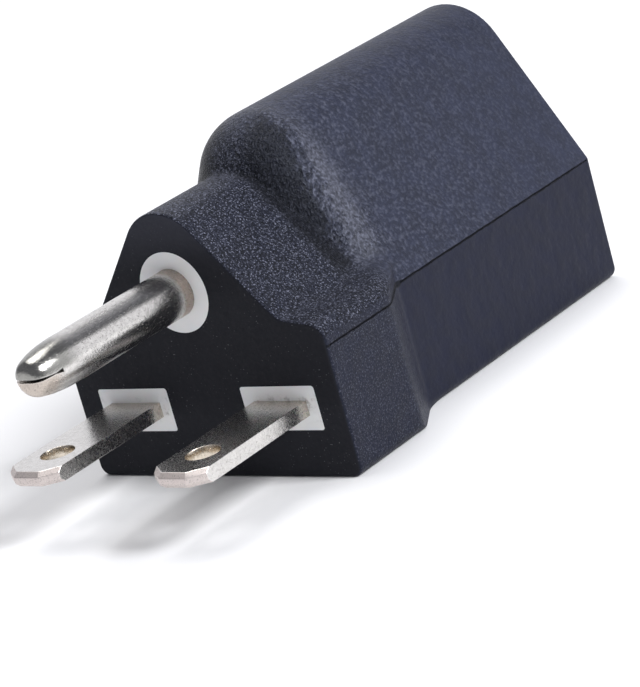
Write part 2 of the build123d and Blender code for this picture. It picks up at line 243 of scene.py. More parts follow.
def parts_of_body(tree, place, axes):
    """A mask between 0 and 1 for each part of the body."""
    _, y, z = axes
    facing = facing_of(tree)
    part = SimpleNamespace()
    part.slopes = ramp(tree, facing[2], 0.05, 0.4)
    part.plug_end = ramp(tree, y, dome_y + 4.5 * MM, dome_y + 0.5 * MM)
    at_plug = ramp(tree, y, plug_face_y + 0.5 * MM, plug_face_y)
    part.plug_face = times(tree, ramp(tree, facing[1], -0.6, -0.9), at_plug)
    at_socket = ramp(tree, y, socket_face_y - 1 * MM, socket_face_y)
    part.socket_face = times(tree, ramp(tree, facing[1], 0.6, 0.9), at_socket)
    part.upright = ramp(tree, unsigned(tree, facing[1]), 0.8, 0.7)
    in_neck = ramp(tree, y, dome_y, dome_y + 1 * MM)
    part.neck = times(tree, in_neck, ramp(tree, y, dome_y + 6 * MM, dome_y + 5.2 * MM))

    above_ledge = ramp(tree, z, 15.2 * MM, 17.0 * MM)
    # painted sheen: the upward-facing top of the plug end is lightened in colour
    part.crown = times(tree, part.plug_end, ramp(tree, facing[2], 0.8, 0.97), above_ledge)
    front = ramp(tree, y, dome_y - 0.6 * MM, dome_y + 0.8 * MM)
    part.dome = times(tree, front, ramp(tree, y, dome_y + 10.0 * MM, dome_y + 5.0 * MM), above_ledge)

    streaks = noise(tree, place, STREAK_GRAIN, detail=3.0, stretch=DOWN_THE_SLOPE)
    lean = math_node(tree, "SUBTRACT", y, times(tree, z, DOME_LEAN))
    lean = math_node(tree, "ADD", lean, ramp(tree, streaks, 0.3, 0.7, -STREAK_REACH, STREAK_REACH))
    sideways = ramp(tree, unsigned(tree, facing[0]), 0.1, 0.5)
    # painted shade: the dome's front valley is darkened in colour
    part.valley = times(tree, part.dome, sideways, ramp(tree, lean, dome_y - 1.0 * MM, dome_y - 2.4 * MM))
    # painted highlight: the band on the dome's shoulder that is lightened in colour
    shoulder = times(tree, part.dome, sideways, ramp(tree, lean, dome_y - 1.6 * MM, dome_y + 0.1 * MM))
    shoulder = times(tree, shoulder, ramp(tree, lean, dome_y + 3.4 * MM, dome_y + 0.8 * MM))
    part.shoulder = times(tree, shoulder, ramp(tree, z, 29.5 * MM, 25.5 * MM, 0.35, 1.0))
    return part


print("the dome starts at y", round(dome_y, 5), "and leans back by", DOME_LEAN)

# %% [markdown]
# ## Soft black overmould: the grain
# Each kind of grain is a height between 0 and 1, with a share that says where it shows. The sharp grain
# is a fine noise with the heaps of the spark-eroded mould on it. The same heights are used twice: for the
# relief, and for the colour, where pits are painted dark as shade and crests are painted light as glints.
# Relief alone would flicker and then vanish from afar.

# %% Grains of the body
SHARP_GRAIN, HEAP_SIZE, HEAP_HEIGHT = 0.22 * MM, 0.2 * MM, 0.3
SOFT_GRAIN, DRAWN_GRAIN, BROAD_WAVE = 0.4 * MM, 0.18 * MM, 1.9 * MM
SHARP_DEPTH, SOFT_DEPTH, DRAWN_DEPTH, BROAD_DEPTH = 0.2 * MM, 0.16 * MM, 0.16 * MM, 0.12 * MM


def grains_of_body(tree, place, axes, part):
    """Each kind of grain, and the share in which it shows."""
    grain = SimpleNamespace()
    fine = noise(tree, place, SHARP_GRAIN, detail=3.0, roughness=0.7)
    heaps = crumbs(tree, place, HEAP_SIZE)
    grain.sharp = math_node(tree, "ADD", fine, times(tree, heaps, HEAP_HEIGHT))
    grain.soft = noise(tree, place, SOFT_GRAIN, detail=3.0, roughness=0.55)
    grain.drawn = noise(tree, place, DRAWN_GRAIN, detail=2.0, stretch=DOWN_THE_SLOPE)
    grain.broad = noise(tree, place, BROAD_WAVE, detail=3.0, roughness=0.55)

    sharp_share = times(tree, part.plug_end, ramp(tree, part.slopes, 0.0, 1.0, 0.33, 1.0))
    sharp_share = math_node(tree, "MAXIMUM", sharp_share, times(tree, part.socket_face, 0.4))
    grain.sharp_share = times(tree, sharp_share, ramp(tree, part.plug_face, 0.0, 1.0, 1.0, 0.1))
    off_plug_end = math_node(tree, "SUBTRACT", 1.0, part.plug_end)
    towards_plug = ramp(tree, axes[1], socket_face_y, dome_y + 6 * MM, 0.4, 1.0)
    grain.soft_share = times(tree, off_plug_end, ramp(tree, part.slopes, 0.0, 1.0, 0.14, 1.0), towards_plug)
    grain.drawn_share = part.dome
    return grain


def relief_of_body(tree, grain):
    """Four layers of relief, from the broad waves to the sharp grain."""
    relief = bump(tree, grain.broad, BROAD_DEPTH)
    relief = bump(tree, times(tree, grain.soft, grain.soft_share), SOFT_DEPTH, relief)
    relief = bump(tree, times(tree, grain.drawn, grain.drawn_share), DRAWN_DEPTH, relief)
    return bump(tree, times(tree, grain.sharp, grain.sharp_share), SHARP_DEPTH, relief)


print("sharp grain", round(SHARP_GRAIN / MM, 2), "mm wide, soft grain", round(SOFT_GRAIN / MM, 2), "mm wide")

# %% [markdown]
# ## Soft black overmould: the colour
# Black vinyl is never quite black: the bluish greys below were matched to each face in turn, so they
# hold painted light too, and the upward slopes are painted lighter than the upright sides. On top of them
# come the grain's painted shade in its pits and painted glints on its crests, painted shade in the valley
# and in the groove where the two halves of the mould met, painted highlights on the shoulder and crown,
# and a little lint on the plug face. The line wanders a little and is wider at the neck, as it is in the
# photograph.

# %% Colours of the body
# the plug face's second black is painted lighter, for its top
FACE_BLACK, FACE_BLACK_PAINTED_LIT_TOP = (0.0135, 0.0138, 0.0175), (0.037, 0.038, 0.05)
# the face tones carry painted light: the slope black is painted lighter than the side black
SIDE_BLACK, SLOPE_BLACK_PAINTED_LIT = (0.0098, 0.0111, 0.0235), (0.0243, 0.0278, 0.0478)
PLUG_BLACK, SOCKET_FACE_BLACK = (0.0122, 0.0138, 0.0252), (0.0085, 0.0093, 0.0135)
# painted shade for the grain's pits, the valley and the groove; painted glints for the grain's crests
PAINTED_SHADE_BLACK, PAINTED_GLINT_GREY = (0.002, 0.0022, 0.0035), (0.165, 0.175, 0.23)
# the lighter grey is a painted highlight for the dome's shoulder and the top of the plug end
LINT_GREY, PAINTED_HIGHLIGHT_GREY = (0.11, 0.11, 0.12), (0.088, 0.092, 0.118)
GROOVE_WANDER, NECK_WIDENING = 0.07 * MM, 2.4


def groove_shade_mask(tree, place, axes, part):
    """The dark line in the parting groove, painted shade, fading towards the socket end."""
    _, y, z = axes
    wander = noise(tree, place, 0.9 * MM, detail=3.0)
    wander = ramp(tree, wander, 0.3, 0.7, -GROOVE_WANDER, GROOVE_WANDER)
    off_groove = apart(tree, math_node(tree, "ADD", z, wander), PARTING_Z)
    off_groove = math_node(tree, "DIVIDE", off_groove, ramp(tree, part.neck, 0.0, 1.0, 1.0, NECK_WIDENING))
    fading = ramp(tree, y, socket_face_y - 1.5 * MM, socket_face_y - 5.0 * MM, 0.3, 0.9)
    return times(tree, ramp(tree, off_groove, 0.15 * MM, 0.09 * MM), part.upright, fading)


def plug_face_colour(tree, place, axes):
    """Nearly plain black, with painted light making it paler towards its top, and a little lint."""
    clusters = ramp(tree, noise(tree, place, 2.2 * MM, detail=2.0), 0.46, 0.62)
    lint = ramp(tree, noise(tree, place, 0.17 * MM, detail=0.0), 0.76, 0.82)
    # painted light: the plug face turns paler towards its top
    colour = blend_colour(tree, ramp(tree, axes[2], 20 * MM, 27 * MM), FACE_BLACK, FACE_BLACK_PAINTED_LIT_TOP)
    return blend_colour(tree, times(tree, lint, clusters), colour, LINT_GREY)


def colour_of_body(tree, place, axes, part, grain):
    """Face tones holding painted light, then painted highlights, grain, painted shade in the valley and
    groove, and the plug face.
    """
    # painted light: each face gets its own tone, the upward slopes a lighter one than the upright sides
    colour = blend_colour(tree, part.slopes, SIDE_BLACK, SLOPE_BLACK_PAINTED_LIT)
    colour = blend_colour(tree, part.plug_end, colour, PLUG_BLACK)
    colour = blend_colour(tree, part.socket_face, colour, SOCKET_FACE_BLACK)
    colour = blend_colour(tree, ramp(tree, grain.broad, 0.35, 0.65, 0.0, 0.3), colour, FACE_BLACK)
    # painted highlight on the dome's shoulder
    colour = blend_colour(tree, times(tree, part.shoulder, 0.75), colour, PAINTED_HIGHLIGHT_GREY)
    # painted sheen on the top of the plug end
    colour = blend_colour(tree, times(tree, part.crown, 0.3), colour, PAINTED_HIGHLIGHT_GREY)
    # of each grain: its height, its share, between which heights pits and crests come in, and how strongly
    kinds = (
        (grain.sharp, grain.sharp_share, (0.55, 0.38), (0.54, 0.84), 0.95),
        (grain.soft, grain.soft_share, (0.56, 0.4), (0.47, 0.74), 0.24),
        (grain.drawn, grain.drawn_share, (0.54, 0.36), (0.52, 0.72), 0.5),
    )
    # painted shade in the pits and painted glints on the crests of each grain
    for height, share, pit, crest, strength in kinds:
        pits = times(tree, ramp(tree, height, *pit, 0.0, strength), share)
        colour = blend_colour(tree, pits, colour, PAINTED_SHADE_BLACK)
        crest_glints = times(tree, ramp(tree, height, *crest, 0.0, strength), share)
        colour = blend_colour(tree, crest_glints, colour, PAINTED_GLINT_GREY)
    # painted shade in the dome's valley
    colour = blend_colour(tree, times(tree, part.valley, 0.75), colour, PAINTED_SHADE_BLACK)
    # painted shade along the parting groove
    colour = blend_colour(tree, groove_shade_mask(tree, place, axes, part), colour, PAINTED_SHADE_BLACK)
    return blend_colour(tree, part.plug_face, colour, plug_face_colour(tree, place, axes))


print("the parting groove runs at z", PARTING_Z)

# %% [markdown]
# ## Soft black overmould: put together
# Matt vinyl mirrors less than a polished plastic, so the shader's specular level is low, with a cool tint
# as in the photograph. The plug face is the roughest part and the dome the smoothest, as if hands had
# rubbed it.

# %% Overmould material
def soft_black_finish():
    constants = {"IOR": 1.47, "Specular_IOR_Level": 0.15, "Specular_Tint": (0.84, 0.89, 1.0, 1.0)}
    material, tree, shader, place, axes = new_finish("soft_black_overmould", **constants)
    part = parts_of_body(tree, place, axes)
    grain = grains_of_body(tree, place, axes, part)
    join(tree, relief_of_body(tree, grain), shader, "Normal")
    join(tree, colour_of_body(tree, place, axes, part, grain), shader, "Base Color")
    rough = ramp(tree, grain.soft, 0.3, 0.7, 0.38, 0.52)
    rough = math_node(tree, "ADD", rough, times(tree, part.plug_face, 0.16))
    rough = math_node(tree, "SUBTRACT", rough, times(tree, part.dome, 0.13))
    join(tree, rough, shader, "Roughness")
    return material


soft_black = soft_black_finish()
print("made", soft_black.name, "with", len(soft_black.node_tree.nodes), "nodes")

# %% [markdown]
# ## White core
# The insert that holds the blades is a hard white plastic. Only its ring and two windows show, flush in
# the plug face. It is plain, with faint grey rub marks close to the metal, where the plating has come off
# on it. The marks are a noise that fades with the distance from the blades. A little light goes into such
# plastic and comes out again close by, so the shader has a small share of subsurface light.

# %% White core material
WHITE_DIM, WHITE_BRIGHT, SMUDGE_GREY = (0.82, 0.825, 0.83), (0.88, 0.88, 0.875), (0.30, 0.285, 0.27)
RUB_HALF_WIDTH, HALF_THICKNESS = 3.1 * MM, 0.76 * MM


def white_finish():
    constants = {"IOR": 1.5, "Subsurface_Weight": 0.12, "Subsurface_Scale": 0.4 * MM}
    material, tree, shader, place, (x, _, z) = new_finish("white_core", **constants)
    off_blade_z = apart(tree, z, blade_top_z - HALF_THICKNESS)
    off_blade_x = math_node(tree, "SUBTRACT", apart(tree, unsigned(tree, x), hole_x), RUB_HALF_WIDTH)
    near_metal = ramp(tree, math_node(tree, "MAXIMUM", off_blade_z, off_blade_x), 1.6 * MM, 0.8 * MM)
    smudge = ramp(tree, noise(tree, place, 0.9 * MM, detail=4.0, roughness=0.6), 0.5, 0.8)
    colour = blend_colour(tree, noise(tree, place, 1.5 * MM), WHITE_DIM, WHITE_BRIGHT)
    colour = blend_colour(tree, times(tree, smudge, near_metal), colour, SMUDGE_GREY)
    join(tree, colour, shader, "Base Color")
    join(tree, ramp(tree, noise(tree, place, 0.25 * MM), 0.3, 0.7, 0.42, 0.55), shader, "Roughness")
    join(tree, bump(tree, noise(tree, place, 0.3 * MM, detail=3.0), 0.012 * MM), shader, "Normal")
    return material


white = white_finish()
print("made", white.name)

# %% [markdown]
# ## Nickel plating
# Blades and pin are brass with a thin coat of nickel. The coat is bright but not a mirror: fine pits
# mottle each reflection, rubbing has left faint lines along the length, and brass shows where the plating
# is thin, in the latch holes and close to the root of the blades. The pin's root has a tan crescent
# painted on as the reflection of the white ring. The sheared tips of the blades are duller, and the
# pressed nose of the pin is warm below its slit and painted dark above it, which dims its reflection
# there. The network has one noise for the pits and one drawn out along Y for the rub lines. Each blade or
# pin then adds marks of its own: a mask worked out from the axes measured above, a colour, and how much
# duller it is there.

# %% Plating shared by blades and pin
NICKEL, NICKEL_DULL, PIT_GREY = (0.72, 0.70, 0.675), (0.64, 0.62, 0.595), (0.15, 0.145, 0.135)
PLATING_PIT, ORANGE_PEEL, RUB_LINE, PLATING_WAVE = 0.155 * MM, 0.45 * MM, 0.09 * MM, 4 * MM


def plated_finish(name, marks, pit_depth, frost=0.0):
    """Pitted nickel with its own marks; frost is roughness that this piece has all over."""
    material, tree, shader, place, axes = new_finish(name, Metallic=1.0)
    pits = noise(tree, place, PLATING_PIT, detail=3.0, roughness=0.65)
    orange_peel = noise(tree, place, ORANGE_PEEL, detail=2.0)
    rubs = noise(tree, place, RUB_LINE, detail=2.0, stretch=(1, 14, 1))
    waves = noise(tree, place, PLATING_WAVE, detail=1.0)

    colour = blend_colour(tree, ramp(tree, orange_peel, 0.35, 0.7), NICKEL, NICKEL_DULL)
    rough = ramp(tree, pits, 0.35, 0.65, 0.11 + frost, 0.26 + frost)
    rough = math_node(tree, "ADD", rough, ramp(tree, rubs, 0.52, 0.75, 0.0, 0.05))
    for mask, tint, duller in marks(tree, axes):
        colour = blend_colour(tree, mask, colour, tint)
        rough = math_node(tree, "ADD", rough, times(tree, mask, duller))
    colour = blend_colour(tree, ramp(tree, pits, 0.54, 0.66, 0.0, 0.45), colour, PIT_GREY)
    join(tree, colour, shader, "Base Color")
    join(tree, rough, shader, "Roughness")

    relief = bump(tree, waves, 0.012 * MM)
    relief = bump(tree, orange_peel, 0.010 * MM, relief)
    relief = bump(tree, pits, pit_depth, relief)
    join(tree, relief, shader, "Normal")
    return material


def off_axis(tree, a, b):
    """How far a place is from an axis, from its two distances sideways."""
    squares = math_node(tree, "ADD", times(tree, a, a), times(tree, b, b))
    return math_node(tree, "SQRT", squares)


print("pits in the plating are", round(PLATING_PIT / MM, 3), "mm wide")

# %% [markdown]
# ## Nickel plating: marks of wear and painted reflections
# Each mark on the blades and the pin is a mask, a colour, and how much duller the metal is there. They
# could be painted on by hand; here their places are measured from the latch hole, the plug face, and the
# pin's axis and tip, so each mark stays where it belongs if a size changes.

# %% Marks of the blades and the pin
# the root tan is a painted reflection of the white ring; the other two are the metal's own colours
WARM_NICKEL, BARE_BRASS, ROOT_RING_REFLECTION_TAN = (0.60, 0.53, 0.45), (0.68, 0.57, 0.42), (0.40, 0.335, 0.285)
# the nose-top grey is painted dark, to dim the nose's reflection; the others are the metal's own colours
SHEARED_TIP, NOSE_TOP_PAINTED_DARK, NOSE_WARM = (0.70, 0.63, 0.60), (0.24, 0.24, 0.22), (0.55, 0.485, 0.43)


def blade_marks(tree, axes):
    """Warm near the root, dull where the tip was sheared, brass inside the latch hole."""
    x, y, _ = axes
    dx = math_node(tree, "SUBTRACT", unsigned(tree, x), hole_x)
    dy = math_node(tree, "SUBTRACT", y, hole_y)
    in_hole = ramp(tree, off_axis(tree, dx, dy), HOLE_R + 0.06 * MM, HOLE_R + 0.02 * MM)
    at_root = ramp(tree, y, plug_face_y - 2.6 * MM, plug_face_y - 0.4 * MM)
    beyond_hole = ramp(tree, y, hole_y - 2.0 * MM, hole_y - 2.6 * MM)
    at_tip = times(tree, beyond_hole, ramp(tree, facing_of(tree)[1], -0.2, -0.5))
    return (
        (times(tree, at_root, 0.7), WARM_NICKEL, 0.0),
        (at_tip, SHEARED_TIP, 0.3),
        (times(tree, in_hole, 0.6), BARE_BRASS, 0.0),
    )


def pin_marks(tree, axes):
    """A tan crescent at the root painted as the ring's reflection, a warm and a painted-dark half of the
    nose, brass inside the tube.
    """
    x, y, z = axes
    tip_y = pin_low.y
    dz = math_node(tree, "SUBTRACT", z, pin_axis_z)
    inside = ramp(tree, off_axis(tree, x, dz), PIN_R - 0.35 * MM, PIN_R - 0.6 * MM)
    at_root = ramp(tree, y, plug_face_y - 1.7 * MM, plug_face_y - 1.0 * MM)
    under_slit, above_slit = ramp(tree, dz, 0.1 * MM, -0.3 * MM), ramp(tree, dz, -0.1 * MM, 0.3 * MM)
    under_nose = times(tree, ramp(tree, y, tip_y + 3.2 * MM, tip_y + 1.4 * MM), under_slit)
    on_nose = times(tree, ramp(tree, y, tip_y + 6.0 * MM, tip_y + 3.0 * MM), above_slit)
    behind_nose = times(tree, ramp(tree, y, tip_y + 4.6 * MM, tip_y + 5.4 * MM), inside)
    return (
        # painted reflection: a tan crescent at the pin's root, for the white ring seen in it
        (times(tree, at_root, 0.9), ROOT_RING_REFLECTION_TAN, 0.12),
        (under_nose, NOSE_WARM, 0.14),
        # painted dark over the top of the nose, dimming its reflection
        (times(tree, on_nose, 0.8), NOSE_TOP_PAINTED_DARK, 0.0),
        (times(tree, behind_nose, 0.8), BARE_BRASS, 0.0),
    )


blade_plating = plated_finish("nickel_plated_blade", blade_marks, 0.014 * MM, frost=0.035)
pin_plating = plated_finish("nickel_plated_pin", pin_marks, 0.015 * MM)
print("made", blade_plating.name, "and", pin_plating.name)

# %% [markdown]
# ## Brass strip and hard black core
# Inside the slots brass contacts glimmer in the dark. They are rolled strip, so their fine lines run
# along the strip, and they have gone a little brown. The black core round them is a harder plastic than
# the overmould. Its three windows are plainer and darker than the grained face round them, which sets
# them off.

# %% Brass and hard black materials
BRASS_BRIGHT, BRASS_BROWN = (0.74, 0.46, 0.17), (0.36, 0.19, 0.06)
CORE_BLACK, CORE_BLACK_WORN = (0.0025, 0.0027, 0.0035), (0.005, 0.0053, 0.007)


def brass_finish():
    material, tree, shader, place, _ = new_finish("brass_strip", Metallic=1.0)
    lines = noise(tree, place, 0.1 * MM, detail=2.0, stretch=(1, 18, 1))
    stain = ramp(tree, noise(tree, place, 1.1 * MM, detail=3.0), 0.4, 0.7)
    join(tree, blend_colour(tree, stain, BRASS_BRIGHT, BRASS_BROWN), shader, "Base Color")
    join(tree, ramp(tree, lines, 0.3, 0.7, 0.22, 0.4), shader, "Roughness")
    join(tree, bump(tree, lines, 0.002 * MM), shader, "Normal")
    return material


def hard_black_finish():
    material, tree, shader, place, _ = new_finish("hard_black_core", IOR=1.5, Specular_IOR_Level=0.12)
    cloud = noise(tree, place, 1.3 * MM, detail=3.0)
    scuff = noise(tree, place, 0.15 * MM, detail=3.0, roughness=0.6)
    join(tree, blend_colour(tree, cloud, CORE_BLACK, CORE_BLACK_WORN), shader, "Base Color")
    join(tree, ramp(tree, scuff, 0.3, 0.7, 0.34, 0.5), shader, "Roughness")
    join(tree, bump(tree, scuff, 0.01 * MM), shader, "Normal")
    return material


brass, hard_black = brass_finish(), hard_black_finish()
print("made", brass.name, "and", hard_black.name)

# %% [markdown]
# ## Finishes on the solids
# Each solid keeps its shape and only gets its finish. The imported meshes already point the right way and
# are left alone; assigning to the material slot is enough. Contacts and rivets, which the list leaves
# out, are brass.

# %% Assign the finishes
finish_of = {
    "outer_body": soft_black,
    "plug_core": white,
    "ground_pin": pin_plating,
    "blade_right": blade_plating,
    "blade_left": blade_plating,
    "socket_core": hard_black,
    "socket_core_cover": hard_black,
}
for name, node in nodes.items():
    finish = finish_of.get(name, brass)
    node.data.materials.clear()
    node.data.materials.append(finish)
    print(name, "->", finish.name)

# %% [markdown]
# ## Blades with broken edges
# A stamped blade has edges that the tumbler has rounded a little, and each of them catches a thin bright
# line of light. We copy the mesh of each blade, merge its loose triangles, and let a Bevel modifier break
# the edges. The copy then stands for the solid. A modifier was chosen because its width is one number
# that can be changed later.

# %% Break the edges of the blades
BROKEN_EDGE, SHARP_ENOUGH = 0.07 * MM, math.radians(30)


def settle(piece):
    """Turns a piece and its modifiers into a plain mesh."""
    finished = piece.evaluated_get(bpy.context.evaluated_depsgraph_get())
    shape = bpy.data.meshes.new_from_object(finished)
    piece.modifiers.clear()
    piece.data = shape


def broken_edges(node_name, piece_name, width):
    """A copy of a solid with its edges broken, which then stands for the solid."""
    mesh = nodes[node_name].data.copy()
    mesh.name = piece_name
    merged = bmesh.new()
    merged.from_mesh(mesh)
    bmesh.ops.remove_doubles(merged, verts=merged.verts, dist=0.001 * MM)
    bmesh.ops.dissolve_limit(merged, angle_limit=math.radians(1.0), verts=merged.verts, edges=merged.edges)
    merged.to_mesh(mesh)
    merged.free()
    piece = into_scene(piece_name, mesh)
    bevel = piece.modifiers.new("broken_edge", "BEVEL")
    bevel.width, bevel.segments = width, 2
    bevel.limit_method, bevel.angle_limit = "ANGLE", SHARP_ENOUGH
    bevel.harden_normals = True
    settle(piece)
    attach(piece, "root")
    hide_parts(node_name)
    print(piece_name, len(piece.data.polygons), "faces")


broken_edges("blade_right", "right_blade", BROKEN_EDGE)
broken_edges("blade_left", "left_blade", BROKEN_EDGE)

# %% [markdown]
# ## Moulding flash: its finish
# Where two halves of a mould meet, or a core is pushed through a skin, the plastic creeps a few
# hundredths of a millimetre into the joint and sets as a thin uneven thread. On the socket face such
# threads stand free and catch the light; in the parting line they lie in the shade of the groove and stay
# dark. It is the same plastic, so one material does for both, with a mask on the depth that tells them
# apart: threads in the groove are painted dark as shade, and those on the socket face get painted glints.

# %% Material for the flash
# painted shade for the threads in the groove; painted glints for those on the socket face
SHADED_FLASH = (0.006, 0.0065, 0.01)
DULL_FLASH, FLASH_PAINTED_GLINT = (0.03, 0.032, 0.045), (0.2, 0.21, 0.25)


def flash_finish():
    material, tree, shader, place, axes = new_finish("moulding_flash", IOR=1.47, Specular_IOR_Level=0.2)
    tone = ramp(tree, noise(tree, place, 0.5 * MM, detail=3.0), 0.35, 0.65)
    on_socket_face = ramp(tree, axes[1], socket_face_y - 0.6 * MM, socket_face_y - 0.3 * MM)
    # painted glints on the socket face's flash, painted shade for the flash in the groove
    painted_glint_tone = blend_colour(tree, tone, DULL_FLASH, FLASH_PAINTED_GLINT)
    join(tree, blend_colour(tree, on_socket_face, SHADED_FLASH, painted_glint_tone), shader, "Base Color")
    join(tree, ramp(tree, noise(tree, place, 0.2 * MM), 0.3, 0.7, 0.3, 0.45), shader, "Roughness")
    return material


flash_plastic = flash_finish()
print("made", flash_plastic.name)

# %% [markdown]
# ## Moulding flash: a thread along a path
# A thread of flash follows a path and never has quite the same thickness. It could be a bevelled curve,
# but that is too even, so this is a job for Geometry Nodes: the tree below takes a path, divides it into
# short steps, and sweeps a small ring along it whose size goes up and down with a noise. The numbers that
# shape the thread are inputs of the tree, so the same tree makes every thread on the part.

# %% Geometry Nodes tree for a thread of flash
def flash_tree(material):
    tree = bpy.data.node_groups.new("thread_of_flash", "GeometryNodeTree")
    tree.is_modifier = True
    sockets = (
        ("Geometry", "NodeSocketGeometry", None),
        ("Thread radius", "NodeSocketFloat", 0.05 * MM),
        ("Step", "NodeSocketFloat", 0.2 * MM),
        ("Thinnest share", "NodeSocketFloat", 0.5),
        ("Lump length", "NodeSocketFloat", 1.2 * MM),
        ("Seed", "NodeSocketFloat", 0.0),
    )
    for name, kind, value in sockets:
        socket = tree.interface.new_socket(name, in_out="INPUT", socket_type=kind)
        if value is not None:
            socket.default_value = value
    tree.interface.new_socket("Geometry", in_out="OUTPUT", socket_type="NodeSocketGeometry")
    given = tree.nodes.new("NodeGroupInput").outputs

    path = add(tree, "GeometryNodeMeshToCurve", {"Mesh": given["Geometry"]}).outputs[0]
    steps = {"Curve": path, "Length": given["Step"]}
    path = add(tree, "GeometryNodeResampleCurve", steps, mode="LENGTH").outputs[0]
    round_ring = {"Resolution": 8, "Radius": given["Thread radius"]}
    ring = add(tree, "GeometryNodeCurvePrimitiveCircle", round_ring).outputs[0]
    grain = math_node(tree, "DIVIDE", 1.0, given["Lump length"])
    where = add(tree, "GeometryNodeInputPosition").outputs[0]
    lumps = {"Vector": where, "W": given["Seed"], "Scale": grain, "Detail": 3.0, "Roughness": 0.6}
    lumps = add(tree, "ShaderNodeTexNoise", lumps, noise_dimensions="4D").outputs[0]
    shares = {"From Min": 0.35, "From Max": 0.65, "To Min": given["Thinnest share"], "To Max": 1.0}
    thickness = add(tree, "ShaderNodeMapRange", {"Value": lumps, **shares}).outputs[0]
    sweep = {"Curve": path, "Profile Curve": ring, "Scale": thickness, "Fill Caps": True}
    thread = add(tree, "GeometryNodeCurveToMesh", sweep).outputs[0]
    thread = add(tree, "GeometryNodeSetShadeSmooth", {0: thread}).outputs[0]
    thread = add(tree, "GeometryNodeRealizeInstances", {0: thread}).outputs[0]
    thread = add(tree, "GeometryNodeSetMaterial", {"Geometry": thread, "Material": material}).outputs[0]
    tree.links.new(thread, tree.nodes.new("NodeGroupOutput").inputs[0])
    return tree


thread_of_flash = flash_tree(flash_plastic)
print("made", thread_of_flash.name, "with", len(thread_of_flash.nodes), "nodes")

# %% [markdown]
# The tree still needs its paths. A path is a mesh with corners and edges but no faces. The helper below
# turns lists of points into such a mesh, hangs the tree on it with the numbers for this thread, and keeps
# the result as a plain piece of the part.

# %% Helper that makes one piece of flash
def flash(piece_name, paths, closed, **numbers):
    """One piece with a thread of flash along each path; numbers are inputs of the tree."""
    points, edges = [], []
    for path in paths:
        start = len(points)
        points += [tuple(p) for p in path]
        edges += [(start + k, start + k + 1) for k in range(len(path) - 1)]
        if closed:
            edges.append((len(points) - 1, start))
    mesh = bpy.data.meshes.new(piece_name)
    mesh.from_pydata(points, edges, [])
    piece = into_scene(piece_name, mesh)
    thread = piece.modifiers.new("thread_of_flash", "NODES")
    thread.node_group = thread_of_flash
    sockets = thread_of_flash.interface.items_tree
    identifiers = {item.name: item.identifier for item in sockets if item.in_out == "INPUT"}
    for key, value in numbers.items():
        thread[identifiers[key.replace("_", " ")]] = value
    settle(piece)
    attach(piece, "root")
    print(piece_name, "has", len(piece.data.polygons), "faces along", len(paths), "paths")


# %% [markdown]
# ## Flash round the windows and slots
# The three windows of the hard core lie a tenth of a millimetre below the socket face. The soft skin ends
# in a thread round each of them, and the mouths of the slots and the ground hole carry a thread of their
# own. Slots and two of the windows are rounded rectangles; the ground hole and its window are flat on top
# and round below.

# %% Outlines on the socket face
WINDOW_SINK = 0.12 * MM
SLOT_Z, GROUND_Z, SLOT_X = 9.5 * MM, 21.4 * MM, 6.35 * MM
WINDOW_CORNER, SLOT_CORNER, HOLE_CORNER = 1.27 * MM, 0.3 * MM, 0.2 * MM
LIP_SINK, MOUTH_RISE = 0.055 * MM, 0.01 * MM
CORNER_SIGNS = ((-1, -1), (1, -1), (1, 1), (-1, 1))


def rounded_outline(corners, y, steps=6):
    """A closed outline at the depth y; each corner is (x, z, radius) and they follow each other round."""
    outline = []
    for k, (x, z, radius) in enumerate(corners):
        corner = Vector((x, z))
        before = (Vector(corners[k - 1][:2]) - corner).normalized()
        after = (Vector(corners[(k + 1) % len(corners)][:2]) - corner).normalized()
        middle = corner + (before + after) * radius
        for step in range(steps + 1):
            turn = step / steps * math.pi / 2
            spot = middle - after * math.cos(turn) * radius - before * math.sin(turn) * radius
            outline.append((spot.x, y, spot.y))
    return outline


def rectangle_outline(x, z, width, height, radius, y):
    half_w, half_h = width / 2, height / 2
    return rounded_outline([(x + a * half_w, z + b * half_h, radius) for a, b in CORNER_SIGNS], y)


def arch_outline(half_w, top, corner_r, y):
    """Flat on top with small corners, a half round below."""
    corners = [(half_w, top, corner_r), (-half_w, top, corner_r), (-half_w, GROUND_Z - half_w, half_w)]
    return rounded_outline([*corners, (half_w, GROUND_Z - half_w, half_w)], y, steps=12)


lip_y = socket_face_y - LIP_SINK
mouth_y = socket_face_y - WINDOW_SINK + MOUTH_RISE
window_lips = [
    rectangle_outline(SLOT_X, SLOT_Z, 5.44 * MM, 10.14 * MM, WINDOW_CORNER, lip_y),
    rectangle_outline(-SLOT_X, SLOT_Z, 5.54 * MM, 11.14 * MM, WINDOW_CORNER, lip_y),
    arch_outline(3.97 * MM, 25.37 * MM, WINDOW_CORNER, lip_y),
]
mouth_lips = [
    rectangle_outline(SLOT_X, SLOT_Z, 2.86 * MM, 7.36 * MM, SLOT_CORNER, mouth_y),
    rectangle_outline(-SLOT_X, SLOT_Z, 2.56 * MM, 8.81 * MM, SLOT_CORNER, mouth_y),
    arch_outline(2.74 * MM, 24.14 * MM, HOLE_CORNER, mouth_y),
]
window_thread = {"Thread_radius": 0.05 * MM, "Thinnest_share": 0.35, "Seed": 1.0}
mouth_thread = {"Thread_radius": 0.09 * MM, "Thinnest_share": 0.25, "Lump_length": 0.7 * MM, "Seed": 2.0}
flash("flash_round_windows", window_lips, True, **window_thread)
flash("flash_round_mouths", mouth_lips, True, **mouth_thread)

# %% [markdown]
# ## Flash along the parting line
# The two halves of the outer mould met in a fine groove that runs along both sides. Its path isn't drawn
# but cut from the body itself: we slice a copy of the body's mesh just below the groove, keep the points
# of the right flank, move them inwards so that the thread lies in the groove, and mirror them for the
# left. At the inner corner of the neck the groove stops for a millimetre, and the thread stops with it.

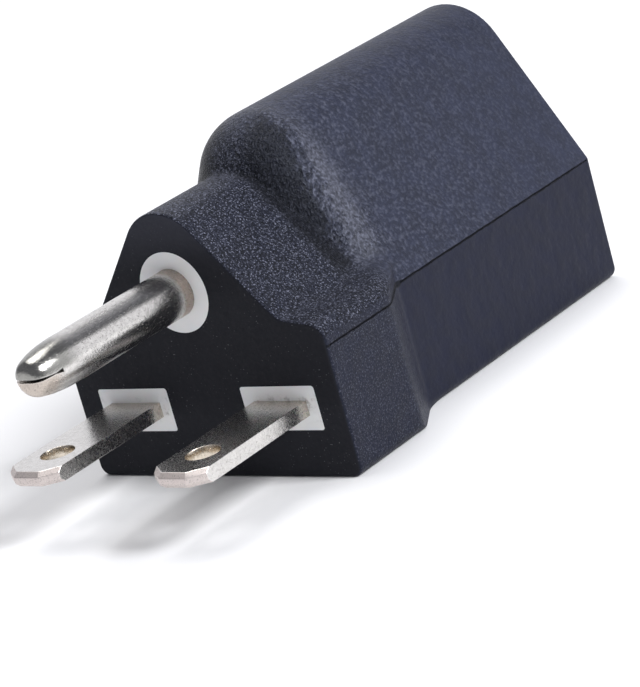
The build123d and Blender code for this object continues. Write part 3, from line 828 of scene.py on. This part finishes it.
# %% Cut the path of the parting line
BRIDGE_FROM, BRIDGE_TO = 15.1 * MM, 16.1 * MM
FLANK_X = 12.6 * MM  # everything further out than this is the flank of the body
BELOW_GROOVE, THREAD_SINK, THREAD_DROP = 0.3 * MM, 0.05 * MM, 0.04 * MM


def side_path(y_from, y_to, count=60):
    """Evenly spaced points along the right flank, just below the groove, from one depth to another."""
    sliced = bmesh.new()
    sliced.from_mesh(nodes["outer_body"].data)
    whole = sliced.verts[:] + sliced.edges[:] + sliced.faces[:]
    low = (0, 0, PARTING_Z - BELOW_GROOVE)
    cut = bmesh.ops.bisect_plane(sliced, geom=whole, plane_co=low, plane_no=(0, 0, 1))["geom_cut"]
    spots = [e.co.copy() for e in cut if isinstance(e, bmesh.types.BMVert) and e.co.x > FLANK_X]
    sliced.free()
    spots.sort(key=lambda spot: spot.y)
    path = []
    for k in range(count):
        y = y_from + (y_to - y_from) * k / (count - 1)
        behind = [spot for spot in spots if spot.y >= y]
        ahead = [spot for spot in spots if spot.y <= y]
        if not behind or not ahead:
            continue
        a, b = ahead[-1], behind[0]
        share = (y - a.y) / (b.y - a.y) if b.y > a.y else 0.0
        path.append(a.lerp(b, share))
    return path


def sunk(path, depth):
    """The path moved in by that depth, at the height of the thread."""
    moved = []
    for k, spot in enumerate(path):
        along = (path[min(k + 1, len(path) - 1)] - path[max(k - 1, 0)]).normalized()
        outward = Vector((along.y, -along.x, 0)).normalized()
        moved.append(Vector((spot.x, spot.y, PARTING_Z - THREAD_DROP)) - outward * depth)
    return moved


right_paths = [
    side_path(plug_face_y + 0.55 * MM, plug_face_y + BRIDGE_FROM),
    side_path(plug_face_y + BRIDGE_TO, socket_face_y - 0.7 * MM),
]
right_paths = [sunk(path, THREAD_SINK) for path in right_paths]
left_paths = [[Vector((-spot.x, spot.y, spot.z)) for spot in path] for path in right_paths]
groove_thread = {"Thread_radius": 0.045 * MM, "Thinnest_share": 0.3, "Seed": 3.0}
flash("flash_in_parting_line", right_paths + left_paths, False, **groove_thread)

# %% [markdown]
# ## Floor
# The object was photographed on white. A large pale floor gives the ground and sends light up under the
# blades. It lies a hair below the bottom of the body, so that the two faces don't fight for the same
# place.

# %% Pale floor
FLOOR_HALF, FLOOR_DROP = 3.0, 0.02 * MM
FLOOR_PALE, FLOOR_PALER = (0.79, 0.79, 0.80), (0.81, 0.81, 0.815)
floor_mesh = bpy.data.meshes.new("studio_floor")
floor_corners = [(a * FLOOR_HALF, b * FLOOR_HALF, -FLOOR_DROP) for a, b in CORNER_SIGNS]
floor_mesh.from_pydata(floor_corners, [], [(0, 1, 2, 3)])
floor = into_scene("studio_floor", floor_mesh)
floor_finish, floor_tree, floor_shader, floor_place, _ = new_finish("pale_floor", Roughness=0.9)
floor_tone = blend_colour(floor_tree, noise(floor_tree, floor_place, 50 * MM), FLOOR_PALE, FLOOR_PALER)
join(floor_tree, floor_tone, floor_shader, "Base Color")
floor_mesh.materials.append(floor_finish)
print("floor is", 2 * FLOOR_HALF, "m wide")

# %% [markdown]
# ## Light
# Plated metal shows what stands round it, so the room matters more here than the lamps. The world is
# white behind the object and darker in front of it, has a grey ceiling, and has one dark opening high
# behind on the right. That gives the pin and the blades a bright band with a dark one beside it, as in
# the photograph. Two soft panels stand in for the studio's lamps: a large one above and behind, and a
# smaller one on the right. A ready-made picture of a studio would do too, but masks on the direction can
# be moved until each reflection sits right.

# %% World and lamps
WALL_WHITE, OPENING_DARK = (0.95, 0.955, 1.0), (0.05, 0.052, 0.06)
FRONT_GREY, CEILING_GREY = (0.26, 0.265, 0.29), (0.2, 0.205, 0.23)


def surround():
    """White walls behind, darker ones in front, a grey ceiling, and a dark opening behind on the right."""
    world = bpy.data.worlds.new("studio_surround")
    bpy.context.scene.world = world
    world.use_nodes = True
    tree = world.node_tree
    direction = add(tree, "ShaderNodeTexCoord").outputs["Generated"]
    x, y, height = add(tree, "ShaderNodeSeparateXYZ", {0: direction}).outputs
    opening = times(tree, ramp(tree, x, -0.02, 0.12), ramp(tree, x, 0.62, 0.46))
    opening = times(tree, opening, ramp(tree, height, 0.44, 0.54))
    colour = blend_colour(tree, opening, WALL_WHITE, OPENING_DARK)
    colour = blend_colour(tree, ramp(tree, y, 0.35, -0.05), colour, FRONT_GREY)
    colour = blend_colour(tree, ramp(tree, height, 0.56, 0.76), colour, CEILING_GREY)
    tree.links.new(colour, tree.nodes["Background"].inputs["Color"])
    tree.nodes["Background"].inputs["Strength"].default_value = 1.0
    print("made", world.name)


def soft_panel(name, place, aim, side, watts, tint):
    """A square soft panel lamp that stands at place and points at aim."""
    lamp = bpy.data.lights.new(name, "AREA")
    lamp.shape, lamp.size, lamp.size_y = "RECTANGLE", side, side
    lamp.energy, lamp.color = watts, tint
    holder = into_scene(name, lamp)
    holder.location = place
    holder.rotation_euler = (Vector(aim) - Vector(place)).to_track_quat("-Z", "Y").to_euler()
    print(name, watts, "W")


surround()
object_middle = (0.0, 0.0, 0.015)
soft_panel("top_panel", (-0.35, 0.25, 1.35), object_middle, 0.9, 12.0, (1.0, 0.99, 0.98))
soft_panel("side_panel", (1.05, 0.05, 0.85), object_middle, 0.4, 20.0, (0.97, 0.98, 1.0))
bpy.context.scene.view_settings.view_transform = "Standard"
